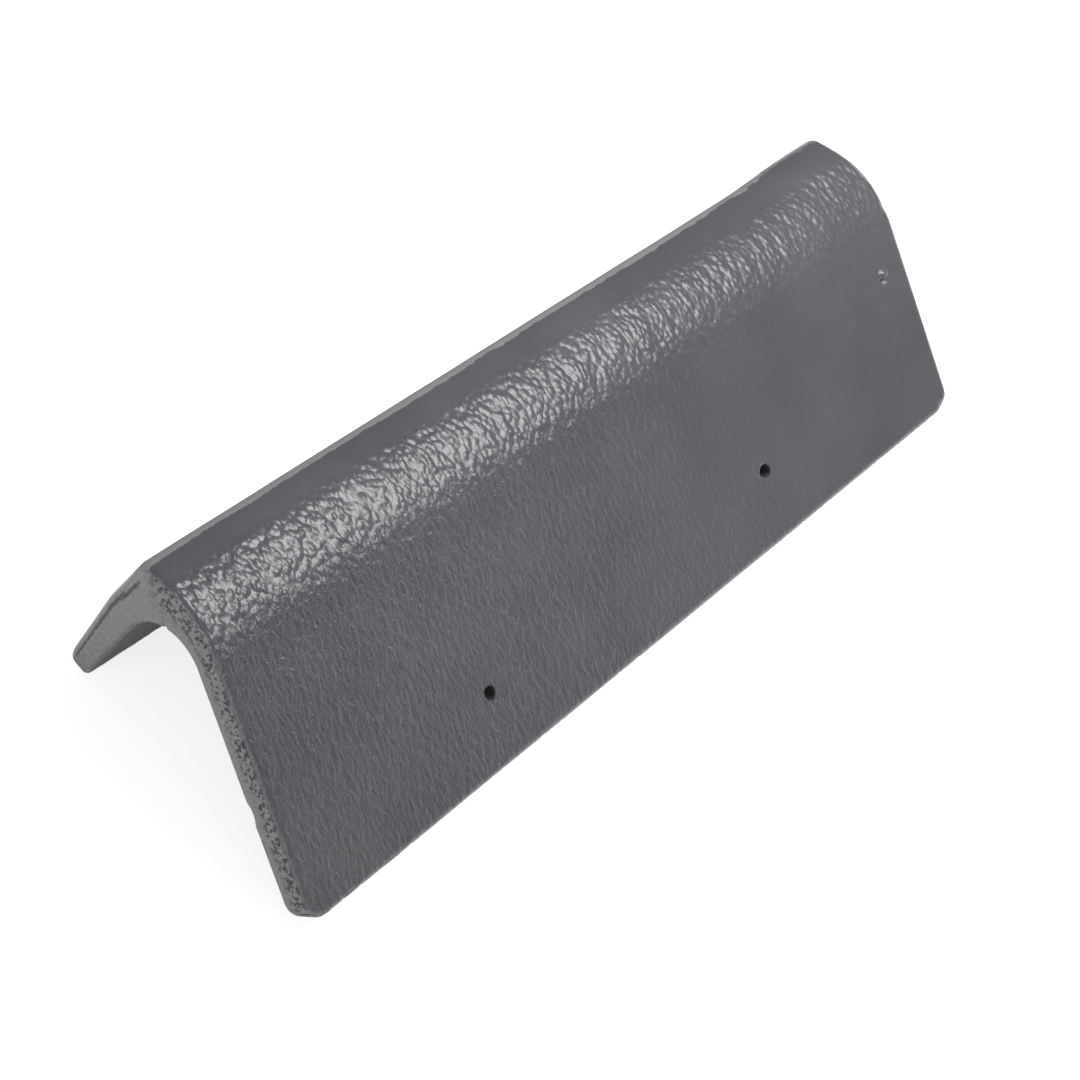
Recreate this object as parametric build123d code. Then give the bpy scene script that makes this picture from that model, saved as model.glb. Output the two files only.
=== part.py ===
from build123d import *
import math
import os

# Concrete barge tile: one cast piece, bent along its length like a tent, with both legs
# growing shorter toward its far end. It stands on the tip of its short leg and the toe of
# its long leg. +X runs from the near end to the far end, the long leg falls toward -Y,
# +Z is up. Millimetres and degrees.

# Length, height of the crest over the floor at the near end, and how much lower it is
# at the far end
tile_length = 420.0
crest_height = 79.2
crest_drop = 17.0

# Short leg
short_lean = 2.5
tip_wall = 11.5
short_draft = 3.0
tip_outer_radius = 4.0
tip_inner_radius = 3.0

# Top and long leg
top_width = 29.5
top_rise = 18.4
long_fall = 33.8
long_wall = 14.0
bend_radius = 53.5
arch_radius = 20.0

# Corners and edges
near_corner_radius = 10.0
far_corner_radius = 8.0
long_arris = 3.5
small_arris = 2.0

# Nail holes through the long leg
nail_hole_radius = 3.0
nail_hole_rise = 31.5
first_hole_place = 123.0
hole_spacing = 180.0

# Angles in radians
lean = math.radians(short_lean)
inner_lean = math.radians(short_lean + short_draft)
rise = math.radians(top_rise)
fall = math.radians(long_fall)
tilt = math.atan2(crest_drop, tile_length)

# Directions in the section: along the top, down the long leg's face, and from that face
# into the wall
up_top = (math.cos(rise), math.sin(rise))
down_slope = (math.cos(fall), -math.sin(fall))
into_wall = (-math.sin(fall), -math.cos(fall))


def step_along(start, way, distance):
    """Return the section point at a distance from start along a direction."""
    return (start[0] + distance * way[0], start[1] + distance * way[1])


def meeting_point(start_a, way_a, start_b, way_b):
    """Return the point where two lines in the section cross."""
    cross = way_a[0] * way_b[1] - way_a[1] * way_b[0]
    gap = (start_b[0] - start_a[0], start_b[1] - start_a[1])
    return step_along(start_a, way_a, (gap[0] * way_b[1] - gap[1] * way_b[0]) / cross)


# Sharp corners of the near end's section, before rounding. The first number of a point
# runs from the short leg's tip toward the long leg's toe, the second is the height above
# the floor. The toe's inner corner lies below the floor by what its rounding takes away.
toe_drop = small_arris * (math.sin(fall) + math.cos(fall) - 1.0)
crest = (crest_height * math.tan(lean), crest_height)
shoulder = step_along(crest, up_top, top_width)
slope_run = (shoulder[1] + toe_drop + long_wall * into_wall[1]) / math.sin(fall)
toe_outer = step_along(shoulder, down_slope, slope_run)
toe_inner = step_along(toe_outer, into_wall, long_wall)
tip_outer = (0.0, 0.0)
tip_inner = (tip_wall / math.cos(lean), 0.0)
arch = meeting_point(tip_inner, (math.sin(inner_lean), math.cos(inner_lean)), toe_inner, down_slope)
outline = [tip_outer, crest, shoulder, toe_outer, toe_inner, arch, tip_inner]

# What the long leg loses by the far end, and what one side of a cutting block spans
slope_loss = crest_drop / math.sin(fall)
cutter_size = 2 * tile_length


def in_space(point, along):
    """Return where a section point lies before the tile is levelled, at a distance along it."""
    return Vector(along - tile_length / 2, -point[0], point[1])


def floor_rise(along):
    """Return how much the crest has come nearer to the floor at a distance along the tile."""
    return crest_drop * along / tile_length


def section_face():
    """Return the section with its bend and arch rounded, crest, tip and toe still sharp."""
    face = make_face(Polyline(*outline, close=True))
    for point, radius in [(shoulder, bend_radius), (arch, arch_radius)]:
        corner = min(face.vertices(), key=lambda vertex: math.dist((vertex.X, vertex.Y), point))
        face = fillet(corner, radius)
    return face


def edge_near(solid, point, along):
    """Return the edge whose middle lies nearest to a section point at a place along the tile."""
    spot = in_space(point, along)
    return min(solid.edges(), key=lambda edge: (edge @ 0.5 - spot).length)


def toe_point(along):
    """Return the middle of the toe's end in the section, at a distance along the tile."""
    loss = slope_loss * along / tile_length
    return step_along(step_along(toe_outer, into_wall, long_wall / 2), down_slope, -loss)


def tapered_body():
    """Return the bent body, cut so that both legs grow shorter toward the far end."""
    near_end = Plane(origin=in_space(tip_outer, 0), x_dir=(0, -1, 0), z_dir=(-1, 0, 0))
    body = extrude(near_end * section_face(), -tile_length)

    # The toe's cut is square to the long leg's wall and runs from corner to corner.
    near_toe = in_space(toe_point(0), 0)
    far_toe = in_space(toe_point(tile_length), tile_length)
    toe_way = far_toe - near_toe
    wall_way = Vector(0, -into_wall[0], into_wall[1])
    toe_cut = Plane(origin=(near_toe + far_toe) / 2, x_dir=toe_way, z_dir=wall_way.cross(toe_way))
    body -= toe_cut * Pos(0, 0, cutter_size / 2) * Box(cutter_size, cutter_size, cutter_size)

    # The tip's cut is the floor itself, under the short leg alone.
    floor_middle = in_space((0, floor_rise(tile_length / 2)), tile_length / 2)
    floor_way = (tile_length, 0, crest_drop)
    floor_up = (-crest_drop, 0, tile_length)
    tip_cut = Plane(origin=floor_middle, x_dir=floor_way, z_dir=floor_up)
    under_tip = Box(cutter_size, 2 * arch[0], cutter_size)
    return body - tip_cut * Pos(0, 0, -cutter_size / 2) * under_tip


def rounded_body():
    """Return the tapered body with its toe corners and all its edges rounded."""
    body = tapered_body()
    middle = tile_length / 2
    tip_rise = floor_rise(middle)
    tip_edges = [
        ((tip_rise * math.tan(lean), tip_rise), tip_outer_radius),
        ((tip_inner[0] + tip_rise * math.tan(inner_lean), tip_rise), tip_inner_radius),
    ]
    for point, radius in tip_edges:
        body = fillet(edge_near(body, point, middle), radius)
    body = fillet(edge_near(body, toe_point(0), 0), near_corner_radius)
    body = fillet(edge_near(body, toe_point(tile_length), tile_length), far_corner_radius)

    # The arris around the long leg's face runs from the crest down each end and along the toe.
    slope_middle = step_along(shoulder, down_slope, slope_run / 2)
    ends = [edge_near(body, slope_middle, place) for place in (0, tile_length)]
    body = fillet(ends, long_arris)

    # The smaller arris follows the crest, the short leg, the arch and the inside of the toe.
    return fillet(edge_near(body, crest, middle), small_arris)


def nail_hole(along):
    """Return the cutter for one nail hole, square to the long leg's face."""
    middle = step_along(toe_point(along), down_slope, -nail_hole_rise)
    way_out = Vector(0, into_wall[0], -into_wall[1])
    bore = Cylinder(nail_hole_radius, 2 * long_wall)
    return Plane(origin=in_space(middle, along), z_dir=way_out) * bore


def barge_tile():
    """Return the finished tile, levelled, seated on the floor and centred over the origin."""
    body = rounded_body()
    for number in range(2):
        body -= nail_hole(first_hole_place + number * hole_spacing)
    body = Rot(0, math.degrees(tilt), 0) * body
    box = body.bounding_box()
    return Pos(-box.center().X, -box.center().Y, -box.min.Z) * body


os.makedirs("parts", exist_ok=True)
export_step(barge_tile(), "parts/barge_tile.step")
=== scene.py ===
import logging
import math
from dataclasses import dataclass, field
from enum import Enum

import bpy
import numpy as np
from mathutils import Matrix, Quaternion, Vector


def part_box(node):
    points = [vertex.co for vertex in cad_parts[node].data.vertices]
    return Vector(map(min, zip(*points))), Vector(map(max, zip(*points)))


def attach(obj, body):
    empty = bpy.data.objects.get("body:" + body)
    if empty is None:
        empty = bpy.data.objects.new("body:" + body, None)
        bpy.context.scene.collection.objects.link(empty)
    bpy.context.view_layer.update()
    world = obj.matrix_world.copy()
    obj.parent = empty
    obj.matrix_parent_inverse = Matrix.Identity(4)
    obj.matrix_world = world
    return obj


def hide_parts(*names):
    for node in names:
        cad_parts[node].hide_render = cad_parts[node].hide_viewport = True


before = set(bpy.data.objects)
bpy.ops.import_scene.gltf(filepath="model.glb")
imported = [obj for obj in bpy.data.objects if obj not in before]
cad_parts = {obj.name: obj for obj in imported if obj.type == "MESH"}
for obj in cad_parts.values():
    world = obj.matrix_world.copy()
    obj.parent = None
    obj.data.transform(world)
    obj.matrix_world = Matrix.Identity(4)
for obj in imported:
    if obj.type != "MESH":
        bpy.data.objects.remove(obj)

LOG = logging.getLogger("barge_tile")
CAD_NODE = "barge_tile"
Colour = tuple[float, float, float, float]


class MathWay(Enum):
    """The sums a math node does."""

    ADD = "ADD"
    LESS = "SUBTRACT"
    TIMES = "MULTIPLY"
    MOST = "MAXIMUM"


@dataclass(frozen=True)
class TileSizes:
    """Sizes of the cast tile, in metres and degrees.

    They are the solid's own, but for the crest's radius, the short leg's slight bulge, and the
    rounding of the tip's corners and of the crest's corner at the far end.
    """

    length: float = 0.420
    crest_height: float = 0.0792
    crest_drop: float = 0.017
    short_lean: float = 2.5
    tip_wall: float = 0.0115
    short_draft: float = 3.0
    tip_outer_radius: float = 0.004
    tip_inner_radius: float = 0.003
    top_width: float = 0.0295
    top_rise: float = 18.4
    long_fall: float = 33.8
    long_wall: float = 0.014
    crest_radius: float = 0.0045
    flank_place: float = 0.6
    flank_bulge: float = 0.0019
    flank_radius: float = 0.060
    bend_radius: float = 0.0535
    arch_radius: float = 0.020
    tip_corner_radius: float = 0.0035
    crest_corner_back: float = 0.006
    crest_corner_reach: float = 0.028
    near_corner_radius: float = 0.010
    far_corner_radius: float = 0.008
    long_arris: float = 0.0035
    small_arris: float = 0.002
    hole_radius: float = 0.003
    hole_rise: float = 0.0315
    first_hole: float = 0.123
    hole_spacing: float = 0.180


class BentLine:
    """A line of straight runs with rounded corners in the section, measured along its length."""

    def __init__(self, corners: list[np.ndarray], radii: list[float], step: float = 0.0002) -> None:
        """Round the inner corners and measure the line.

        Args:
            corners: Section points (y, z) from the short leg's tip to the toe.
            radii: One radius for each inner corner.
            step: Spacing of the points on the arcs, in metres.
        """
        points = [corners[0]]
        for before, at, after, radius in zip(corners, corners[1:], corners[2:], radii):
            points.extend(self.arc(before, at, after, radius, step))
        points.append(corners[-1])
        self.points = np.array(points)
        runs = np.hypot(*np.diff(self.points, axis=0).T)
        self.places = np.concatenate([[0.0], np.cumsum(runs)])
        self.length = float(self.places[-1])

    @staticmethod
    def arc(before: np.ndarray, at: np.ndarray, after: np.ndarray, radius: float, step: float) -> list[np.ndarray]:
        """Return points on the arc that rounds one corner.

        Args:
            before: The corner before it.
            at: The corner that is rounded.
            after: The corner after it.
            radius: The arc's radius.
            step: Spacing of the points.

        Returns:
            Points from the start of the arc to its end.
        """
        way_in = (at - before) / np.linalg.norm(at - before)
        way_out = (after - at) / np.linalg.norm(after - at)
        turn = math.acos(float(np.clip(way_in @ way_out, -1.0, 1.0)))
        start = at - way_in * radius * math.tan(turn / 2)
        side = way_out - way_in * float(way_in @ way_out)
        side /= np.linalg.norm(side)
        angles = np.linspace(0.0, turn, max(4, int(radius * turn / step)))
        return [start + way_in * radius * math.sin(a) + side * radius * (1.0 - math.cos(a)) for a in angles]

    def at(self, places: np.ndarray) -> np.ndarray:
        """Return the (y, z) points at distances along the line."""
        y = np.interp(places, self.places, self.points[:, 0])
        z = np.interp(places, self.places, self.points[:, 1])
        return np.stack([y, z], axis=-1)

    def nearest(self, point: np.ndarray) -> float:
        """Return the distance along the line of its place nearest to a section point."""
        places = np.linspace(0.0, self.length, 4000)
        return float(places[int(np.argmin(np.linalg.norm(self.at(places) - point, axis=-1)))])


class Section:
    """The bent section: an outer and an inner line, matched across the wall."""

    def __init__(self, sizes: TileSizes) -> None:
        """Work out both lines from the tile's sizes.

        Args:
            sizes: The tile's sizes.
        """
        lean = math.radians(sizes.short_lean)
        inner_lean = math.radians(sizes.short_lean + sizes.short_draft)
        fall = math.radians(sizes.long_fall)
        down = np.array([-math.cos(fall), -math.sin(fall)])
        into = np.array([math.sin(fall), -math.cos(fall)])
        rise = math.radians(sizes.top_rise)
        toe_drop = sizes.small_arris * (math.sin(fall) + math.cos(fall) - 1.0)
        tip_outer = np.array([0.0, 0.0])
        tip_inner = tip_outer - np.array([sizes.tip_wall / math.cos(lean), 0.0])
        crest = tip_outer + np.array([-sizes.crest_height * math.tan(lean), sizes.crest_height])
        shoulder = crest + np.array([-math.cos(rise), math.sin(rise)]) * sizes.top_width
        run = (shoulder[1] + toe_drop - sizes.long_wall * math.cos(fall)) / math.sin(fall)
        toe_outer = shoulder + down * run
        toe_inner = toe_outer + into * sizes.long_wall
        up_inside = np.array([-math.sin(inner_lean), math.cos(inner_lean)])
        steps = np.linalg.solve(np.stack([up_inside, down], axis=1), toe_inner - tip_inner)
        arch = tip_inner + up_inside * steps[0]

        flank = tip_outer + (crest - tip_outer) * sizes.flank_place + np.array([sizes.flank_bulge, 0.0])
        corners = [tip_outer, flank, crest, shoulder, toe_outer]
        self.outer = BentLine(corners, [sizes.flank_radius, sizes.crest_radius, sizes.bend_radius])
        self.inner = BentLine([tip_inner, arch, toe_inner], [sizes.arch_radius])
        self.crest_place = self.outer.nearest(crest)
        cut = sizes.arch_radius * math.tan((math.pi / 2 + fall - inner_lean) / 2)
        before = float(np.linalg.norm(arch - tip_inner)) - cut
        after = float(np.linalg.norm(arch - toe_inner)) - cut
        level = before * math.cos(inner_lean) / math.cos(lean)
        self.slope_start = self.outer.length - after
        self.outer_knots = np.array([0.0, level, self.slope_start, self.outer.length])
        self.inner_knots = np.array([0.0, before, self.inner.length - after, self.inner.length])

    def across(self, places: np.ndarray) -> np.ndarray:
        """Return the inner line's points that lie across the wall from places on the outer line."""
        return self.inner.at(np.interp(places, self.outer_knots, self.inner_knots))

    def wall(self, places: np.ndarray) -> np.ndarray:
        """Return the wall's thickness at places on the outer line."""
        return np.linalg.norm(self.across(places) - self.outer.at(places), axis=-1)

    def point(self, places: np.ndarray, share: np.ndarray) -> np.ndarray:
        """Return section points in the wall.

        Args:
            places: Distances along the outer line.
            share: How far in, from 0 at the outer line to 1 at the inner line.

        Returns:
            The (y, z) points.
        """
        outside = self.outer.at(places)
        return outside + (self.across(places) - outside) * share[..., None]


@dataclass(frozen=True)
class Taper:
    """How both legs grow shorter toward the far end, along the section's outer line in metres."""

    length: float
    tip_loss: float
    toe_loss: float
    tip_kept: float
    tip_end: float
    toe_start: float
    toe_kept: float

    def run(self, x: np.ndarray, run: np.ndarray) -> np.ndarray:
        """Return where points of the near end's section lie on the shorter section further along.

        Args:
            x: Places along the tile.
            run: Places down the near end's section.

        Returns:
            The places down the section at x: the edges move whole, the legs' middles close up.
        """
        share = x / self.length + 0.5
        tip = 1.0 - np.clip((run - self.tip_kept) / (self.tip_end - self.tip_kept), 0.0, 1.0)
        toe = np.clip((run - self.toe_start) / (self.toe_kept - self.toe_start), 0.0, 1.0)
        return run + share * (self.tip_loss * tip - self.toe_loss * toe)


@dataclass(frozen=True)
class Corner:
    """One rounded corner of a plan: its centre, the way it points and its radius."""

    x: float
    run: float
    x_way: float
    run_way: float
    radius: float

    def shares(self, x: np.ndarray, run: np.ndarray) -> tuple[np.ndarray, np.ndarray, np.ndarray]:
        """Return how far points reach into the corner's square both ways, and which are inside it."""
        a = (x - self.x) * self.x_way / self.radius
        b = (run - self.run) * self.run_way / self.radius
        inside = (a > 1e-9) & (b > 1e-9)
        return np.clip(a, 0.0, 1.0), np.clip(b, 0.0, 1.0), inside

    def bend(self, a: np.ndarray, b: np.ndarray) -> tuple[np.ndarray, np.ndarray]:
        """Return the places in the quarter disc of points in the corner's square."""
        x = self.x + self.x_way * self.radius * a * np.sqrt(1.0 - b * b / 2)
        run = self.run + self.run_way * self.radius * b * np.sqrt(1.0 - a * a / 2)
        return x, run


@dataclass(frozen=True)
class Plan:
    """The tile unrolled flat: x along it, run down the section. Its corners are rounded."""

    x_low: float
    x_high: float
    run_low: float
    run_high: float
    near_tip: float
    far_tip: float
    near_toe: float
    far_toe: float

    def corners(self) -> list[Corner]:
        """Return the four corners, tip before toe and near before far."""
        spots = [
            (self.x_low, self.run_low, -1.0, -1.0, self.near_tip),
            (self.x_high, self.run_low, 1.0, -1.0, self.far_tip),
            (self.x_low, self.run_high, -1.0, 1.0, self.near_toe),
            (self.x_high, self.run_high, 1.0, 1.0, self.far_toe),
        ]
        return [Corner(x - xw * r, s - sw * r, xw, sw, r) for x, s, xw, sw, r in spots]

    def inset(self, ends: float, tip: float, toe: float) -> "Plan":
        """Return a smaller plan.

        Args:
            ends: How far each end moves in.
            tip: How far the tip's side moves in.
            toe: How far the toe's side moves in.

        Returns:
            The smaller plan, with its corners' radii cut down to suit.
        """
        least = 0.0008
        radii = (self.near_tip, self.far_tip, self.near_toe, self.far_toe)
        return Plan(
            self.x_low + ends,
            self.x_high - ends,
            self.run_low + tip,
            self.run_high - toe,
            *(max(radius - ends, least) for radius in radii),
        )

    def rounded(self, x: np.ndarray, run: np.ndarray) -> tuple[np.ndarray, np.ndarray]:
        """Return the points of the square-cornered plan pulled in to the rounded one."""
        new_x, new_run = x.copy(), run.copy()
        for corner in self.corners():
            a, b, inside = corner.shares(x, run)
            bent_x, bent_run = corner.bend(a, b)
            new_x[inside], new_run[inside] = bent_x[inside], bent_run[inside]
        return new_x, new_run

    def rim_from(self, smaller: "Plan", x: np.ndarray, run: np.ndarray) -> tuple[np.ndarray, np.ndarray]:
        """Return this plan's rim points that stand for a smaller plan's.

        Args:
            smaller: The plan whose square rim the points are on.
            x: The points' x.
            run: The points' run.

        Returns:
            The x and run of the points on this plan's rounded rim.
        """
        tiny = 1e-9
        new_x = np.where(x < smaller.x_low + tiny, self.x_low, np.where(x > smaller.x_high - tiny, self.x_high, x))
        low, high = smaller.run_low + tiny, smaller.run_high - tiny
        new_run = np.where(run < low, self.run_low, np.where(run > high, self.run_high, run))
        for mine, theirs in zip(self.corners(), smaller.corners()):
            a, b, inside = theirs.shares(x, run)
            bent_x, bent_run = mine.bend(a, b)
            new_x[inside], new_run[inside] = bent_x[inside], bent_run[inside]
        return new_x, new_run


@dataclass
class Points:
    """Points of the cast in its unrolled form, gathered part by part."""

    x: list[np.ndarray] = field(default_factory=list)
    run: list[np.ndarray] = field(default_factory=list)
    share: list[np.ndarray] = field(default_factory=list)
    edge: list[np.ndarray] = field(default_factory=list)
    count: int = 0

    def add(self, x: np.ndarray, run: np.ndarray, share: np.ndarray, edge: np.ndarray) -> np.ndarray:
        """Add points and return their numbers.

        Args:
            x: Places along the tile.
            run: Places along the section's outer line.
            share: Depths as a share of the wall.
            edge: 0 on the faces, rising to 1 round the arris, and 1 on the rim.

        Returns:
            The points' numbers, in the same shape as x.
        """
        numbers = np.arange(self.count, self.count + x.size).reshape(x.shape)
        for store, new in ((self.x, x), (self.run, run), (self.share, share), (self.edge, edge)):
            store.append(np.broadcast_to(new, x.shape).ravel().astype(float))
        self.count += x.size
        return numbers

    def joined(self) -> tuple[np.ndarray, np.ndarray, np.ndarray, np.ndarray]:
        """Return x, run, share and edge of all the points."""
        return tuple(np.concatenate(store) for store in (self.x, self.run, self.share, self.edge))


@dataclass
class TileCast:
    """The cast body as one closed mesh: fine outside, a rim all round, coarser inside."""

    sizes: TileSizes = field(default_factory=TileSizes)
    cells_along: int = 384
    cells_short_leg: int = 30
    cells_rest: int = 138
    coarser: int = 3
    crowding: float = 0.22
    arris_rows: int = 5
    flat_rows: int = 7
    inner_rows: int = 3
    shift: np.ndarray | None = None

    def __post_init__(self) -> None:
        """Work out the section and the plans of the outside, the rim and the inside."""
        self.section = Section(self.sizes)
        s = self.sizes
        half = s.length / 2
        tip, near, far = s.tip_corner_radius, s.near_corner_radius, s.far_corner_radius
        tip_outer = s.tip_outer_radius * math.tan(math.radians(90.0 + s.short_lean) / 2)
        tip_inner = s.tip_inner_radius * math.tan(math.radians(90.0 - s.short_lean - s.short_draft) / 2)
        self.whole = Plan(-half, half, 0.0, self.section.outer.length, tip, tip, near, far)
        self.outside = self.whole.inset(s.long_arris, tip_outer, s.long_arris)
        self.inside = self.whole.inset(s.small_arris, tip_inner, s.small_arris)
        self.taper = Taper(
            s.length,
            s.crest_drop / math.cos(math.radians(s.short_lean)),
            s.crest_drop / math.sin(math.radians(s.long_fall)),
            0.012,
            self.section.crest_place - 0.010,
            self.section.slope_start + 0.002,
            self.section.outer.length - 0.030,
        )

    def lines(self) -> tuple[np.ndarray, np.ndarray]:
        """Return the outside grid's places along the tile and down the section."""
        t = np.linspace(0.0, 1.0, self.cells_along + 1)
        t = t * (1.0 - self.crowding) + self.crowding * t * t
        x = self.outside.x_low + (self.outside.x_high - self.outside.x_low) * t
        knee = self.section.crest_place - self.sizes.crest_radius
        short = np.linspace(self.outside.run_low, knee, self.cells_short_leg + 1)
        rest = np.linspace(knee, self.outside.run_high, self.cells_rest + 1)
        return x, np.concatenate([short, rest[1:]])

    @staticmethod
    def ring(numbers: np.ndarray) -> np.ndarray:
        """Return a grid's border once round, from its first corner."""
        return np.concatenate([numbers[:-1, 0], numbers[-1, :-1], numbers[:0:-1, -1], numbers[0, :0:-1]])

    @staticmethod
    def grid_faces(numbers: np.ndarray, outward: bool) -> list[tuple[int, ...]]:
        """Return the four-sided faces of a grid of points, wound so that they face out or in."""
        a, b = numbers[:-1, :-1].ravel(), numbers[:-1, 1:].ravel()
        c, d = numbers[1:, 1:].ravel(), numbers[1:, :-1].ravel()
        order = (a, b, c, d) if outward else (d, c, b, a)
        return list(zip(*(side.tolist() for side in order)))

    def rim_rows(self, points: Points, grid_x: np.ndarray, grid_run: np.ndarray) -> list[np.ndarray]:
        """Add the rows of points from the outside's border round the arrises to the inside.

        Args:
            points: The store of points.
            grid_x: The outside grid's square x.
            grid_run: The outside grid's square run.

        Returns:
            The numbers of each row's points.
        """
        x, run = self.ring(grid_x), self.ring(grid_run)
        start = self.outside.rounded(x, run)
        full = self.whole.rim_from(self.outside, x, run)
        last = self.inside.rim_from(self.outside, x, run)
        wall = self.section.wall(full[1])
        outer_arris = np.hypot(full[0] - start[0], full[1] - start[1])
        inner_arris = np.hypot(full[0] - last[0], full[1] - last[1])
        rows = []

        def add_row(turn: float, flat: tuple[np.ndarray, np.ndarray], depth: np.ndarray) -> None:
            """Add the row of points at one turn of an arris."""
            row_x, row_run = (f + (s - f) * (1.0 - math.sin(turn)) for f, s in zip(full, flat))
            rows.append(points.add(row_x, row_run, depth / wall, np.array(math.sin(turn) ** 2)))

        for turn in np.linspace(0.0, math.pi / 2, self.arris_rows + 1)[1:]:
            add_row(turn, start, outer_arris * (1.0 - math.cos(turn)))
        for step in np.linspace(0.0, 1.0, self.flat_rows + 1)[1:]:
            depth = (outer_arris + (wall - outer_arris - inner_arris) * step) / wall
            rows.append(points.add(full[0], full[1], depth, np.array(1.0)))
        for turn in np.linspace(math.pi / 2, 0.0, self.inner_rows + 1)[1:]:
            add_row(turn, last, wall - inner_arris * (1.0 - math.cos(turn)))
        return rows

    def inside_grid(self, points: Points, x: np.ndarray, run: np.ndarray) -> np.ndarray:
        """Add the inside's coarser grid a little in from the rim.

        Args:
            points: The store of points.
            x: The outside grid's x lines.
            run: The outside grid's run lines.

        Returns:
            The grid's point numbers.
        """
        band = 0.0025
        plan = self.inside.inset(band, band, band)
        coarse_x, coarse_run = x[:: self.coarser], run[:: self.coarser]
        fit_x = np.interp(coarse_x, [x[0], x[-1]], [plan.x_low, plan.x_high])
        fit_run = np.interp(coarse_run, [run[0], run[-1]], [plan.run_low, plan.run_high])
        square_x, square_run = np.meshgrid(fit_x, fit_run, indexing="ij")
        grid_x, grid_run = plan.rounded(square_x, square_run)
        return points.add(grid_x, grid_run, np.array(1.0), np.array(0.0))

    def stitch(self, fine: np.ndarray, coarse: np.ndarray) -> list[tuple[int, ...]]:
        """Return the faces that join the rim's last row to the coarser inside grid."""
        faces = []
        for k in range(len(coarse)):
            a, b = int(coarse[k]), int(coarse[(k + 1) % len(coarse)])
            f = [int(fine[(k * self.coarser + n) % len(fine)]) for n in range(self.coarser + 1)]
            faces += [(f[0], f[1], a), (f[1], f[2], b, a), (f[2], f[3], b)]
        return faces

    def stood(self, places: np.ndarray) -> np.ndarray:
        """Return points turned so that the shorter far end stands level, inside the solid's box.

        Args:
            places: The points with the crest level, one row each.

        Returns:
            The points as they stand on the floor.
        """
        tilt = math.atan2(self.sizes.crest_drop, self.sizes.length)
        x = places[:, 0] * math.cos(tilt) + places[:, 2] * math.sin(tilt)
        z = places[:, 2] * math.cos(tilt) - places[:, 0] * math.sin(tilt)
        turned = np.column_stack([x, places[:, 1], z])
        low, high = (np.array(corner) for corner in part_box(CAD_NODE))
        least, most = turned.min(axis=0), turned.max(axis=0)
        if self.shift is None:
            self.shift = (low + high - least - most) / 2
            self.shift[2] = low[2] - least[2]
        return turned + self.shift

    def spot(self, x: float, rise: float, share: float) -> Vector:
        """Return a point in the long leg's wall as it stands.

        Args:
            x: Its place along the tile.
            rise: Its distance up the slope from the toe.
            share: How far into the wall it lies.

        Returns:
            The point.
        """
        along = np.array([x])
        run = self.taper.run(along, np.array([self.section.outer.length])) - rise
        flat = self.section.point(run, np.array([share]))
        return Vector(self.stood(np.column_stack([along, flat]))[0].tolist())

    def rounded_crest(self, x: np.ndarray, run: np.ndarray) -> np.ndarray:
        """Return x drawn back round the crest at the far end.

        Args:
            x: Places along the tile.
            run: Places down the near end's section.

        Returns:
            The places along the tile, with that corner rounded.
        """
        s = self.sizes
        off = np.abs(run - self.section.crest_place)
        back = s.crest_corner_back * (1.0 - eased(0.0, s.crest_corner_reach, off))
        return x - back * eased(0.42, 0.50, x / s.length)

    def mesh(self) -> tuple[bpy.types.Mesh, Points]:
        """Return the closed mesh and its points in the unrolled form."""
        points = Points()
        x, run = self.lines()
        square_x, square_run = np.meshgrid(x, run, indexing="ij")
        grid_x, grid_run = self.outside.rounded(square_x, square_run)
        outside = points.add(grid_x, grid_run, np.array(0.0), np.array(0.0))
        rows = [self.ring(outside), *self.rim_rows(points, square_x, square_run)]
        inside = self.inside_grid(points, x, run)
        faces = self.grid_faces(outside, True) + self.grid_faces(inside, False)
        for above, below in zip(rows, rows[1:]):
            sides = (above, np.roll(above, -1), np.roll(below, -1), below)
            faces += list(zip(*(side.tolist() for side in sides)))
        faces += self.stitch(rows[-1], self.ring(inside))
        along, place, share, _ = points.joined()
        section = self.section.point(self.taper.run(along, place), share)
        mesh = bpy.data.meshes.new("barge_tile_cast")
        shaped = self.rounded_crest(along, place)
        mesh.from_pydata(self.stood(np.column_stack([shaped, section])).tolist(), [], faces)
        mesh.validate()
        return mesh, points


def eased(low: float, high: float, value: np.ndarray) -> np.ndarray:
    """Return a smooth step from 0 at low to 1 at high."""
    t = np.clip((value - low) / (high - low), 0.0, 1.0)
    return t * t * (3.0 - 2.0 * t)


@dataclass(frozen=True)
class Blemish:
    """A pimple, dent, chip, rubbed spot or painted reflection: its place along the tile and past the crest, spread
    and size.
    """

    x: float
    past: float
    spread_x: float
    spread_run: float
    size: float = 1.0

    def field(self, x: np.ndarray, past: np.ndarray) -> np.ndarray:
        """Return its size at each point, fading out round its place."""
        gap = ((x - self.x) / self.spread_x) ** 2 + ((past - self.past) / self.spread_run) ** 2
        return self.size * np.exp(-gap * gap)


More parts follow.
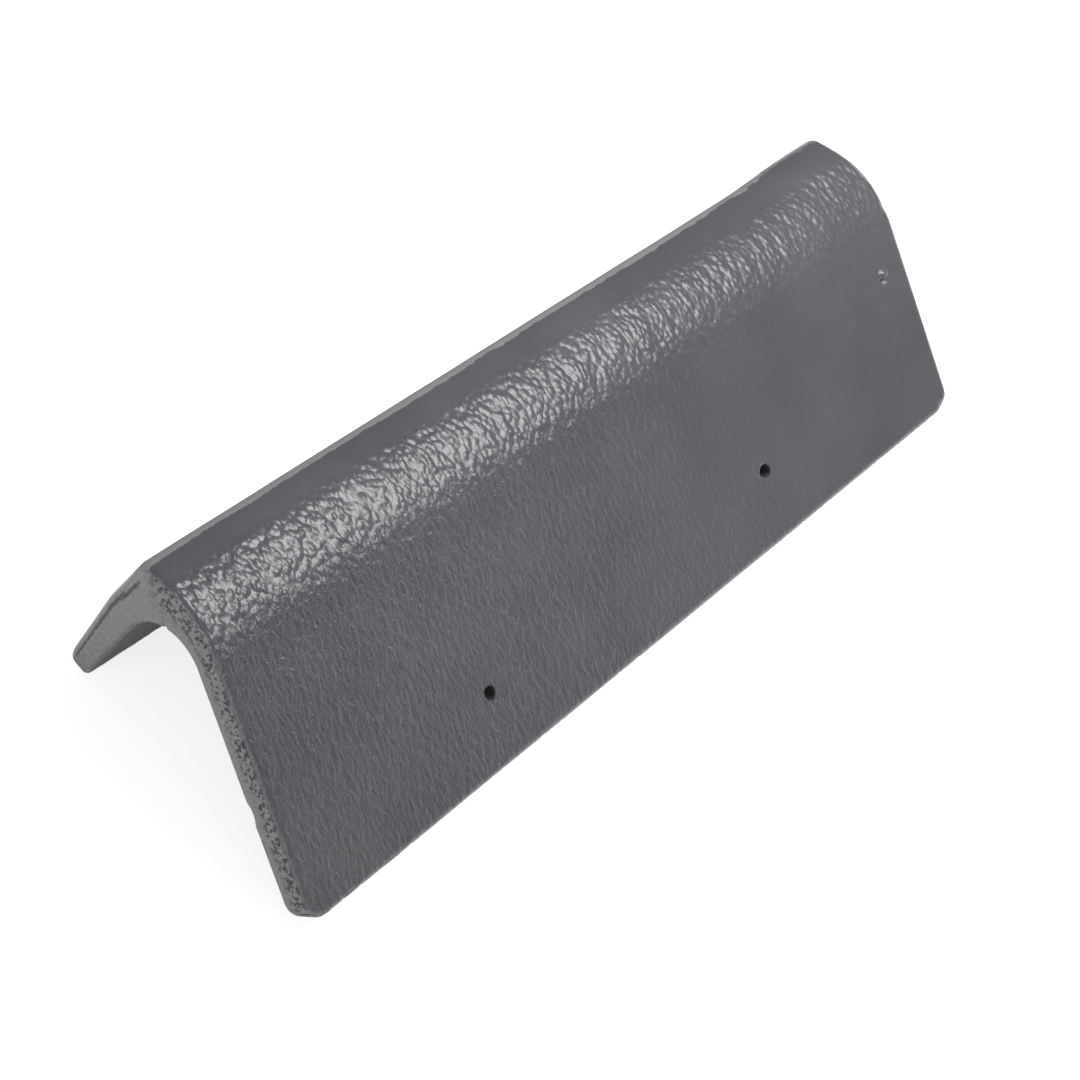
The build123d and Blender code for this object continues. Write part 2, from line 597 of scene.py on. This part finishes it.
@dataclass(frozen=True)
class Zones:
    """Where each kind of surface lies on the cast, in metres along the section's outer line."""

    smooth_band: float = 0.0115
    lump_rise: float = 0.0050
    lump_end: float = 0.0440
    lump_fall: float = 0.0180
    strip_low: float = -0.0060
    strip_high: float = 0.0014
    swells: tuple[Blemish, ...] = (
        Blemish(0.1940, 0.0665, 0.0021, 0.0018, 0.0016),
        Blemish(0.1930, 0.0694, 0.0018, 0.0014, -0.0014),
        Blemish(0.2050, 0.0000, 0.0450, 0.0200, 0.0018),
        Blemish(-0.2080, 0.1560, 0.0100, 0.0090, -0.0006),
    )
    nicks: tuple[Blemish, ...] = (
        Blemish(-0.2100, 0.1160, 0.0060, 0.0040, -0.0007),
        Blemish(-0.2100, 0.0100, 0.0060, 0.0020, -0.0008),
        Blemish(0.2080, 0.0410, 0.0020, 0.0035, -0.0003),
        Blemish(0.2050, 0.1330, 0.0030, 0.0030, -0.0007),
        Blemish(-0.1770, 0.0010, 0.0035, 0.0012, -0.0005),
    )
    rubbed_spots_and_glint: tuple[Blemish, ...] = (
        # Painted reflection: this first spot lights the far end's arris at the top of the bend, mostly for gloss from
        # the light beyond that end, partly for bare edge; the others are rubbed bare spots.
        Blemish(0.2095, 0.0200, 0.0030, 0.0170, 0.9),
        Blemish(0.2090, 0.0410, 0.0025, 0.0035, 0.8),
        Blemish(0.2050, 0.1330, 0.0030, 0.0030, 0.8),
        Blemish(-0.1870, 0.1620, 0.0030, 0.0022, 0.8),
        Blemish(-0.1620, 0.1600, 0.0060, 0.0018, 0.8),
        Blemish(-0.2030, 0.1640, 0.0090, 0.0022, 0.7),
        Blemish(0.1870, 0.0630, 0.0010, 0.0010, 0.4),
    )

    @staticmethod
    def total(blemishes: tuple[Blemish, ...], x: np.ndarray, past: np.ndarray) -> np.ndarray:
        """Return the sum of some blemishes at each point."""
        return sum((blemish.field(x, past) for blemish in blemishes), np.zeros_like(x))

    def paint(self, mesh: bpy.types.Mesh, points: Points, cast: TileCast) -> None:
        """Store the zones on the mesh as attributes, and its unrolled form as a UV map.

        Args:
            mesh: The cast's mesh.
            points: Its points in the unrolled form.
            cast: The cast, for its section and sizes.
        """
        x, flat_run, share, edge = points.joined()
        run = cast.taper.run(x, flat_run)
        past = run - cast.section.crest_place
        outside = np.where(share < 0.5, 1.0 - edge, 0.0)
        inside = np.where(share > 0.5, 1.0 - edge, 0.0)
        along = (x / cast.sizes.length) + 0.5
        lump = eased(self.smooth_band, self.smooth_band + self.lump_rise, past)
        lump *= 1.0 - eased(self.lump_end, self.lump_end + self.lump_fall, past)
        streak = eased(self.lump_end - 0.012, self.lump_end + 0.010, past)
        streak *= 1.0 - 0.80 * eased(0.18, 0.85, along)
        strip = eased(self.strip_low - 0.002, self.strip_low, past)
        strip *= 1.0 - eased(self.strip_high, self.strip_high + 0.003, past)
        strip *= 1.0 - 0.7 * eased(0.70, 0.98, along)
        near_end = eased(0.9, 1.0, edge) * (x < 0.0)
        lip = near_end * (past < 0.0) * (1.0 - eased(0.16, 0.22, share))
        # Painted shadow: a dark line across the near end face, a little in from the short leg's outer edge, where
        # that edge's shade falls.
        painted_edge_shadow = near_end * (past < -0.004) * eased(0.16, 0.22, share) * (1.0 - eased(0.28, 0.36, share))
        sandy = eased(-0.002, 0.012, past) * eased(0.5, 0.9, edge) * (1.0 - eased(0.45, 0.75, share))
        strip *= (share < 0.5) * (1.0 - eased(0.6, 0.9, edge))
        # The spots hold rubbed bare spots and the painted reflection on the far end's arris.
        spots = self.total(self.rubbed_spots_and_glint, x, past) * (share < 0.5)
        push = self.total(self.swells, x, past) * outside
        push += self.total(self.nicks, x, past) * np.where(x < 0.0, share > 0.55, share < 0.5)
        values = {
            "along": x,
            "run": run,
            "past_crest": past,
            "lump_zone": lump * outside * (1.0 - 0.50 * along),
            "streak_zone": streak * outside,
            "sand_zone": sandy,
            "inside_zone": inside,
            "bare": np.clip(np.maximum(eased(0.75, 1.0, edge), inside), 0.0, 1.0),
            # Light grey mortar rubbed bare at the crest strip, the near end's lip and the spots, and the painted
            # reflection on the far end's arris.
            "worn_and_glint": np.clip(np.maximum.reduce([strip, 0.75 * lip, spots]), 0.0, 1.0),
            "painted_edge_shadow": painted_edge_shadow,
            "push": push,
        }
        for name, value in values.items():
            store = mesh.attributes.new(name, "FLOAT", "POINT").data
            store.foreach_set("value", value.astype(np.float32))
        corners = np.zeros(len(mesh.loops), np.int32)
        mesh.loops.foreach_get("vertex_index", corners)
        sheet = np.column_stack([x, run])[corners]
        mesh.uv_layers.new(name="sheet").data.foreach_set("uv", sheet.astype(np.float32).ravel())


class NodeBoard:
    """Adds nodes to a tree and joins them."""

    def __init__(self, tree: bpy.types.NodeTree) -> None:
        """Keep the tree."""
        self.tree = tree

    def add(self, kind: str, settings: dict | None = None, **inputs: object) -> bpy.types.Node:
        """Add a node.

        Args:
            kind: The node's type.
            settings: Its properties.
            **inputs: Its inputs by name with _ for a space, each a socket or a value.

        Returns:
            The node.
        """
        node = self.tree.nodes.new(kind)
        for name, value in (settings or {}).items():
            setattr(node, name, value)
        for name, value in inputs.items():
            self.feed(node.inputs[name.replace("_", " ")], value)
        return node

    def feed(self, socket: bpy.types.NodeSocket, value: object) -> None:
        """Join a socket to another, or set its value."""
        if isinstance(value, bpy.types.NodeSocket):
            self.tree.links.new(value, socket)
        else:
            socket.default_value = value

    def math(self, way: MathWay, a: object, b: object) -> bpy.types.NodeSocket:
        """Return the result of a sum of two numbers."""
        node = self.tree.nodes.new("ShaderNodeMath")
        node.operation = way.value
        self.feed(node.inputs[0], a)
        self.feed(node.inputs[1], b)
        return node.outputs[0]

    def plus(self, first: object, *others: object) -> bpy.types.NodeSocket:
        """Return the sum of numbers."""
        for other in others:
            first = self.math(MathWay.ADD, first, other)
        return first

    def times(self, first: object, *others: object) -> bpy.types.NodeSocket:
        """Return the product of numbers."""
        for other in others:
            first = self.math(MathWay.TIMES, first, other)
        return first

    def vector(self, x: object, y: object, z: object = 0.0) -> bpy.types.NodeSocket:
        """Return a vector of three numbers."""
        return self.add("ShaderNodeCombineXYZ", None, X=x, Y=y, Z=z).outputs[0]

    def vector_math(self, way: str, a: object, b: object) -> bpy.types.NodeSocket:
        """Return the vector result of a sum of two vectors."""
        node = self.tree.nodes.new("ShaderNodeVectorMath")
        node.operation = way
        self.feed(node.inputs[0], a)
        self.feed(node.inputs[1], b)
        return node.outputs[0]

    def scaled(self, vector: object, scale: object) -> bpy.types.NodeSocket:
        """Return a vector times a number."""
        return self.add("ShaderNodeVectorMath", {"operation": "SCALE"}, Vector=vector, Scale=scale).outputs[0]

    def noise(self, vector: object, scale: float, detail: float = 2.0, rough: float = 0.5) -> bpy.types.NodeSocket:
        """Return a noise number round 0.5 at a place."""
        given = {"Vector": vector, "Scale": scale, "Detail": detail, "Roughness": rough}
        return self.add("ShaderNodeTexNoise", None, **given).outputs[0]

    def swing(self, vector: object, scale: float, detail: float = 2.0, rough: float = 0.5) -> bpy.types.NodeSocket:
        """Return a noise number round 0 at a place."""
        return self.math(MathWay.LESS, self.noise(vector, scale, detail, rough), 0.5)

    def cells(self, vector: object, scale: float, smooth: float) -> bpy.types.NodeSocket:
        """Return the distance from the middles of smooth cells at a place."""
        given = {"Vector": vector, "Scale": scale, "Smoothness": smooth}
        return self.add("ShaderNodeTexVoronoi", {"feature": "SMOOTH_F1"}, **given).outputs["Distance"]

    def step(
        self, value: object, low: float, high: float, to_low: float = 0.0, to_high: float = 1.0
    ) -> bpy.types.NodeSocket:
        """Return a smooth step of a number from one range to another."""
        given = {"Value": value, "From Min": low, "From Max": high, "To Min": to_low, "To Max": to_high}
        return self.add("ShaderNodeMapRange", {"interpolation_type": "SMOOTHSTEP"}, **given).outputs[0]


def made_plain(piece: bpy.types.Object, modifier: bpy.types.Modifier) -> None:
    """Apply a piece's modifier, so that a plain mesh is left.

    Args:
        piece: The piece.
        modifier: Its modifier.
    """
    bpy.context.view_layer.update()
    seen = bpy.context.evaluated_depsgraph_get()
    shown = piece.evaluated_get(seen)
    made = bpy.data.meshes.new_from_object(shown, preserve_all_data_layers=True, depsgraph=seen)
    piece.modifiers.remove(modifier)
    old, piece.data = piece.data, made
    bpy.data.meshes.remove(old)


@dataclass(frozen=True)
class CastRelief:
    """The relief of the cast's surface, made by a node tree with named inputs, in metres."""

    lump_height: float = 0.00064
    lump_width: float = 0.0034
    streak_height: float = 0.00042
    streak_width: float = 0.0026
    pit_depth: float = 0.0009
    pit_width: float = 0.0020
    inside_height: float = 0.0006
    sway_height: float = 0.0005
    warp_scale: float = 190.0
    warp_reach: float = 0.0050
    far_stretch: float = 2.2
    stretch_reach: float = 0.20
    lump_middle: float = 0.55
    lump_wildness: float = 1.3
    streak_stretch: float = 3.2
    sway_scale: float = 14.0
    sway_middle: float = 0.62
    inside_scale: float = 160.0

    def named(self) -> dict[str, float]:
        """Return the tree's inputs and their values."""
        names = ("lump_height", "lump_width", "streak_height", "streak_width")
        names += ("pit_depth", "pit_width", "inside_height", "sway_height")
        return {name.replace("_", " ").capitalize(): getattr(self, name) for name in names}

    def tree(self) -> bpy.types.NodeTree:
        """Return the node tree that pushes the cast's points along their normals."""
        tree = bpy.data.node_groups.new("Cast relief", "GeometryNodeTree")
        face = tree.interface
        sockets = [("Geometry", "Geometry"), *((name, "Float") for name in self.named())]
        sockets += [("Low corner", "Vector"), ("High corner", "Vector"), ("Finish", "Material")]
        for name, kind in sockets:
            face.new_socket(name=name, in_out="INPUT", socket_type=f"NodeSocket{kind}")
        face.new_socket(name="Geometry", in_out="OUTPUT", socket_type="NodeSocketGeometry")
        board = NodeBoard(tree)
        given = board.add("NodeGroupInput").outputs
        total = board.plus(self.outer_relief(board, given), self.rough_relief(board, given), self.kept(board, "push"))
        normal = board.add("GeometryNodeInputNormal").outputs[0]
        push = board.scaled(normal, total)
        moved = board.add("GeometryNodeSetPosition", None, Geometry=given["Geometry"], Offset=push)
        place = board.add("GeometryNodeInputPosition").outputs[0]
        held = board.vector_math("MAXIMUM", place, given["Low corner"])
        held = board.vector_math("MINIMUM", held, given["High corner"])
        boxed = board.add("GeometryNodeSetPosition", None, Geometry=moved.outputs[0], Position=held)
        smooth = board.add("GeometryNodeSetShadeSmooth", None, Geometry=boxed.outputs[0])
        real = board.add("GeometryNodeRealizeInstances", None, Geometry=smooth.outputs[0])
        dressed = board.add("GeometryNodeSetMaterial", None, Geometry=real.outputs[0], Material=given["Finish"])
        board.add("NodeGroupOutput", None, Geometry=dressed.outputs[0])
        return tree

    @staticmethod
    def kept(board: NodeBoard, name: str) -> bpy.types.NodeSocket:
        """Return the number kept on the mesh under a name."""
        return board.add("GeometryNodeInputNamedAttribute", {"data_type": "FLOAT"}, Name=name).outputs[0]

    def outer_relief(self, board: NodeBoard, given: bpy.types.NodeOutputs) -> bpy.types.NodeSocket:
        """Return the push of the lumps on the bend, the streaks down the long leg and the sway."""
        along, past = self.kept(board, "along"), self.kept(board, "past_crest")
        warp = board.times(board.swing(board.vector(along, past), self.warp_scale, 1.0), self.warp_reach)
        warped = board.plus(along, warp)
        wide = given["Lump width"]
        tall = board.times(wide, board.step(along, -self.stretch_reach, self.stretch_reach, 1.0, self.far_stretch))
        sheet = board.vector(warped, past)
        lump_at = board.vector_math("DIVIDE", sheet, board.vector(wide, tall, 1.0))
        lumps = board.math(MathWay.LESS, self.lump_middle, board.cells(lump_at, 1.0, 0.35))
        lumps = board.plus(lumps, board.times(board.swing(lump_at, 0.7, 1.0), self.lump_wildness))
        lumps = board.times(lumps, given["Lump height"], self.kept(board, "lump_zone"))
        narrow = given["Streak width"]
        tall = board.times(narrow, self.streak_stretch)
        streak_at = board.vector_math("DIVIDE", sheet, board.vector(narrow, tall, 1.0))
        streaks = board.swing(streak_at, 1.0, 1.0)
        streaks = board.times(streaks, given["Streak height"], self.kept(board, "streak_zone"))
        place = board.add("GeometryNodeInputPosition").outputs[0]
        sway = board.math(MathWay.LESS, board.noise(place, self.sway_scale, 1.0), self.sway_middle)
        return board.plus(lumps, streaks, board.times(sway, given["Sway height"]))

    def rough_relief(self, board: NodeBoard, given: bpy.types.NodeOutputs) -> bpy.types.NodeSocket:
        """Return the push of the sand pits in the end faces and of the rough cast inside."""
        place = board.add("GeometryNodeInputPosition").outputs[0]
        wide = given["Pit width"]
        spots = board.vector_math("DIVIDE", place, board.vector(wide, wide, wide))
        pits = board.step(board.noise(spots, 0.8, 2.0, 0.6), 0.50, 0.68)
        pits = board.times(pits, given["Pit depth"], self.kept(board, "sand_zone"))
        cast = board.swing(place, self.inside_scale, 3.0, 0.6)
        cast = board.times(cast, given["Inside height"], self.kept(board, "inside_zone"))
        return board.math(MathWay.LESS, cast, pits)

    def press(self, piece: bpy.types.Object, finish: bpy.types.Material) -> None:
        """Push the relief into a piece and leave it a plain mesh.

        Args:
            piece: The piece.
            finish: Its material.
        """
        modifier = piece.modifiers.new("Cast relief", "NODES")
        modifier.node_group = self.tree()
        low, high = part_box(CAD_NODE)
        given = {**self.named(), "Low corner": tuple(low), "High corner": tuple(high), "Finish": finish}
        for item in modifier.node_group.interface.items_tree:
            if item.in_out == "INPUT" and item.name in given:
                modifier[item.identifier] = given[item.name]
        made_plain(piece, modifier)


@dataclass(frozen=True)
class CoatedConcrete:
    """The tile's finish: a dark satin coat over bare grey mortar."""

    coat_dark: Colour = (0.094, 0.093, 0.104, 1.0)
    coat_light: Colour = (0.112, 0.110, 0.121, 1.0)
    mortar_dark: Colour = (0.185, 0.184, 0.195, 1.0)
    mortar_light: Colour = (0.250, 0.248, 0.262, 1.0)
    # Painted shade: the nearly black colour of the shade in the end faces' sand pits and of the painted shadow line
    # on the near end face.
    painted_shade_dark: Colour = (0.026, 0.026, 0.029, 1.0)
    # Light grey of mortar rubbed bare, and of the painted reflection on the far end's arris.
    worn_and_glint: Colour = (0.250, 0.248, 0.253, 1.0)
    coat_rough: float = 0.30
    mortar_rough: float = 0.85

    @staticmethod
    def kept(board: NodeBoard, name: str) -> bpy.types.NodeSocket:
        """Return the number kept on the mesh under a name."""
        return board.add("ShaderNodeAttribute", {"attribute_name": name}).outputs["Fac"]

    @staticmethod
    def blend(board: NodeBoard, share: object, a: object, b: object) -> bpy.types.NodeSocket:
        """Return a mix of two colours."""
        node = board.tree.nodes.new("ShaderNodeMix")
        node.data_type = "RGBA"
        board.feed(node.inputs["Factor"], share)
        board.feed(node.inputs[6], a)
        board.feed(node.inputs[7], b)
        return node.outputs[2]

    def material(self) -> bpy.types.Material:
        """Return the material."""
        material = bpy.data.materials.new("coated_concrete_finish")
        material.use_nodes = True
        board = NodeBoard(material.node_tree)
        shader = material.node_tree.nodes["Principled BSDF"]
        place = board.add("ShaderNodeTexCoord").outputs["Object"]
        sheet = board.add("ShaderNodeUVMap", {"uv_map": "sheet"}).outputs[0]
        ragged, wavy = board.swing(place, 320.0, 3.0), board.swing(place, 70.0, 2.0)

        clouds = board.step(board.noise(place, 22.0, 3.0), 0.3, 0.7)
        coat = self.blend(board, clouds, self.coat_dark, self.coat_light)
        grain = board.step(board.noise(place, 900.0, 3.0, 0.7), 0.35, 0.68)
        mortar = self.blend(board, grain, self.mortar_dark, self.mortar_light)
        bare = board.step(board.plus(self.kept(board, "bare"), board.times(ragged, 0.8)), 0.42, 0.58)
        colour = self.blend(board, bare, coat, mortar)
        edge = board.plus(board.times(ragged, 0.7), wavy)
        # Mortar rubbed bare, and the painted reflection on the far end's arris: light grey and rough.
        worn_and_glint = board.step(board.plus(self.kept(board, "worn_and_glint"), edge), 0.38, 0.62)
        colour = self.blend(board, worn_and_glint, colour, self.worn_and_glint)
        # Painted shade: nearly black spots on the end faces where the sand pits lie, standing for the shade inside
        # them.
        pits = board.step(board.noise(place, 520.0, 2.0, 0.6), 0.51, 0.59)
        pits = board.times(pits, self.kept(board, "sand_zone"), 0.85)
        # Painted shadow: the dark line along the near end face beneath the short leg's outer edge, with ragged sides.
        painted_shadow_line = board.step(board.plus(self.kept(board, "painted_edge_shadow"), ragged), 0.55, 0.80)
        # The painted shade of the pits and the painted shadow line darken the colour toward nearly black, and the
        # bump below presses both in.
        dark = board.math(MathWay.MOST, pits, board.times(painted_shadow_line, 0.7))
        colour = self.blend(board, dark, colour, self.painted_shade_dark)
        board.feed(shader.inputs["Base Color"], colour)
        rough = board.step(board.math(MathWay.MOST, bare, worn_and_glint), 0.0, 1.0, self.coat_rough, self.mortar_rough)
        board.feed(shader.inputs["Roughness"], rough)

        bent = board.vector_math("ADD", sheet, board.vector(board.times(wavy, 0.0040), 0.0))
        streaks = board.noise(board.vector_math("MULTIPLY", bent, (1.0, 0.45, 1.0)), 420.0, 3.0, 0.6)
        streaks = board.times(streaks, self.kept(board, "streak_zone"), 4.6)
        cells = board.cells(board.vector_math("MULTIPLY", bent, (1.0, 0.75, 1.0)), 390.0, 0.3)
        lumps = board.times(board.math(MathWay.LESS, 1.0, cells), self.kept(board, "lump_zone"), 1.5)
        crumbs = board.times(board.noise(place, 1400.0, 3.0, 0.7), bare, 0.25)
        height = board.math(MathWay.LESS, board.plus(streaks, lumps, crumbs), board.times(dark, 1.2))
        bump = board.add("ShaderNodeBump", None, Strength=1.0, Distance=0.00045, Height=height)
        board.feed(shader.inputs["Normal"], bump.outputs[0])
        return material


@dataclass(frozen=True)
class NailHoles:
    """The nail holes through the long leg, cut with slightly ragged round cutters."""

    sides: int = 28
    ragged: float = 0.10
    past_wall: float = 0.35

    def places(self, sizes: TileSizes) -> list[float]:
        """Return the holes' places along the tile."""
        return [sizes.first_hole - sizes.length / 2 + n * sizes.hole_spacing for n in range(2)]

    def rim(self, number: int, turn: float) -> float:
        """Return a cutter's radius at an angle, as a share of the hole's."""
        wave = math.sin(2 * turn + number) + 0.6 * math.sin(3 * turn + 2 * number) + 0.4 * math.sin(7 * turn)
        return 1.0 + self.ragged * wave / 2

    def cutters(self, cast: TileCast) -> bpy.types.Mesh:
        """Return the cutters as one mesh.

        Args:
            cast: The cast that they go through.

        Returns:
            The mesh of both cutters.
        """
        points, faces = [], []
        for number, x in enumerate(self.places(cast.sizes)):
            rise = cast.sizes.hole_rise
            mouth, back = cast.spot(x, rise, -self.past_wall), cast.spot(x, rise, 1.0 + self.past_wall)
            turn_to = (back - mouth).to_track_quat("Z", "Y")
            first = len(points)
            for end in (mouth, back):
                for k in range(self.sides):
                    turn = 2 * math.pi * k / self.sides
                    radius = cast.sizes.hole_radius * self.rim(number, turn)
                    points.append(end + turn_to @ Vector((radius * math.cos(turn), radius * math.sin(turn), 0.0)))
            ring, last = range(self.sides), first + self.sides
            for k in ring:
                after = (k + 1) % self.sides
                faces.append((first + k, first + after, last + after, last + k))
            faces += [tuple(first + k for k in reversed(ring)), tuple(last + k for k in ring)]
        mesh = bpy.data.meshes.new("nail_hole_cutters")
        mesh.from_pydata([tuple(point) for point in points], [], faces)
        bare = np.ones(len(mesh.vertices), np.float32)
        mesh.attributes.new("bare", "FLOAT", "POINT").data.foreach_set("value", bare)
        return mesh

    def cut(self, piece: bpy.types.Object, cast: TileCast) -> None:
        """Cut the holes through the body and leave it a plain mesh.

        Args:
            piece: The body.
            cast: Its cast.
        """
        cutter = bpy.data.objects.new("nail_hole_cutters", self.cutters(cast))
        bpy.context.scene.collection.objects.link(cutter)
        modifier = piece.modifiers.new("Nail holes", "BOOLEAN")
        modifier.operation, modifier.solver, modifier.object = "DIFFERENCE", "EXACT", cutter
        made_plain(piece, modifier)
        cutter_mesh = cutter.data
        bpy.data.objects.remove(cutter)
        bpy.data.meshes.remove(cutter_mesh)


@dataclass
class BargeTile:
    """The whole tile: its cast body, its relief and its finish."""

    cast: TileCast = field(default_factory=TileCast)
    zones: Zones = field(default_factory=Zones)
    relief: CastRelief = field(default_factory=CastRelief)
    holes: NailHoles = field(default_factory=NailHoles)
    finish: CoatedConcrete = field(default_factory=CoatedConcrete)

    def build(self) -> bpy.types.Object:
        """Return the tile's cast body with its relief pressed in."""
        mesh, points = self.cast.mesh()
        self.zones.paint(mesh, points, self.cast)
        piece = bpy.data.objects.new("barge_tile_cast", mesh)
        bpy.context.scene.collection.objects.link(piece)
        self.relief.press(piece, self.finish.material())
        self.holes.cut(piece, self.cast)
        return piece

    def dress(self, piece: bpy.types.Object) -> None:
        """Ride the body on the frame in place of its solid."""
        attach(piece, "root")
        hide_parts(CAD_NODE)
        LOG.info("%s: %d faces", piece.name, len(piece.data.polygons))


@dataclass(frozen=True)
class SoftBox:
    """A square lamp that points at the tile."""

    name: str
    place: tuple[float, float, float]
    width: float
    depth: float
    power: float

    def hang(self, aim: Vector) -> None:
        """Add the lamp, turned toward a point."""
        lamp = bpy.data.lights.new(self.name, "AREA")
        lamp.shape = "RECTANGLE"
        lamp.size, lamp.size_y, lamp.energy = self.width, self.depth, self.power
        holder = bpy.data.objects.new(self.name, lamp)
        holder.location = self.place
        holder.rotation_mode = "QUATERNION"
        holder.rotation_quaternion = (aim - Vector(self.place)).to_track_quat("-Z", "Y")
        bpy.context.scene.collection.objects.link(holder)


@dataclass(frozen=True)
class Studio:
    """A pale floor, soft lamps and the air's soft light."""

    floor_reach: float = 6.0
    floor_shade: float = 0.80
    air: float = 0.25
    floor_glow: float = 0.75
    lamps: tuple[SoftBox, ...] = (
        SoftBox("key", (0.34, -0.04, 0.85), 0.42, 0.46, 7.9),
        SoftBox("end_fill", (-0.90, 0.05, 0.16), 0.60, 0.24, 2.5),
    )

    def build(self) -> None:
        """Add the floor, the world and the lamps."""
        self.floor()
        self.world()
        for lamp in self.lamps:
            lamp.hang(Vector((0.0, 0.0, 0.05)))

    def floor(self) -> None:
        """Add the floor, white to the camera but for the tile's shadow."""
        r = self.floor_reach
        mesh = bpy.data.meshes.new("floor")
        mesh.from_pydata([(-r, -r, 0.0), (r, -r, 0.0), (r, r, 0.0), (-r, r, 0.0)], [], [(0, 1, 2, 3)])
        floor = bpy.data.objects.new("floor", mesh)
        bpy.context.scene.collection.objects.link(floor)
        material = bpy.data.materials.new("floor_paper")
        material.use_nodes = True
        board = NodeBoard(material.node_tree)
        nodes = material.node_tree.nodes
        shader = nodes["Principled BSDF"]
        grey = (self.floor_shade,) * 3 + (1.0,)
        shader.inputs["Base Color"].default_value = grey
        shader.inputs["Roughness"].default_value = 1.0
        shader.inputs["Specular IOR Level"].default_value = 0.0
        path = board.add("ShaderNodeLightPath")
        seen = board.math(MathWay.MOST, path.outputs["Is Camera Ray"], path.outputs["Is Glossy Ray"])
        glow = board.add("ShaderNodeEmission", None, Color=(1.0, 1.0, 1.0, 1.0), Strength=self.floor_glow)
        both, mix = board.add("ShaderNodeAddShader"), board.add("ShaderNodeMixShader", None, Fac=seen)
        joins = [(shader, both.inputs[0]), (glow, both.inputs[1]), (shader, mix.inputs[1]), (both, mix.inputs[2])]
        for node, socket in [*joins, (mix, nodes["Material Output"].inputs["Surface"])]:
            board.feed(socket, node.outputs[0])
        floor.data.materials.append(material)

    def world(self) -> None:
        """Light the air softly, and show it white to the camera."""
        world = bpy.data.worlds.new("studio_air")
        world.use_nodes = True
        bpy.context.scene.world = world
        board = NodeBoard(world.node_tree)
        path = board.add("ShaderNodeLightPath")
        strength = board.step(path.outputs["Is Camera Ray"], 0.0, 1.0, self.air, 1.0)
        back = world.node_tree.nodes["Background"]
        back.inputs["Color"].default_value = (1.0, 1.0, 1.0, 1.0)
        board.feed(back.inputs["Strength"], strength)


@dataclass(frozen=True)
class PhotoCamera:
    """The camera at the photograph's angle."""

    eye: tuple[float, float, float] = (-1.4542, -0.3810, 1.9673)
    way: tuple[float, float, float] = (0.5877, 0.15563, -0.79397)
    roll: float = 37.469
    focal_share: float = 6000.0 / 1080.0

    def build(self) -> None:
        """Add the camera and make it the scene's."""
        data = bpy.data.cameras.new("photo_camera")
        data.sensor_width = 36.0
        data.lens = 36.0 * self.focal_share
        data.clip_start, data.clip_end = 0.01, 20.0
        camera = bpy.data.objects.new("photo_camera", data)
        camera.location = self.eye
        camera.rotation_mode = "QUATERNION"
        turn = Quaternion((0.0, 0.0, 1.0), math.radians(self.roll))
        camera.rotation_quaternion = Vector(self.way).to_track_quat("-Z", "Y") @ turn
        bpy.context.scene.collection.objects.link(camera)
        bpy.context.scene.camera = camera


def main() -> None:
    """Build the tile, the floor, the lamps and the camera."""
    logging.basicConfig(level=logging.INFO)
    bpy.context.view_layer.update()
    tile = BargeTile()
    tile.dress(tile.build())
    Studio().build()
    PhotoCamera().build()
    bpy.context.scene.view_settings.view_transform = "Standard"


if __name__ == "__main__":
    main()
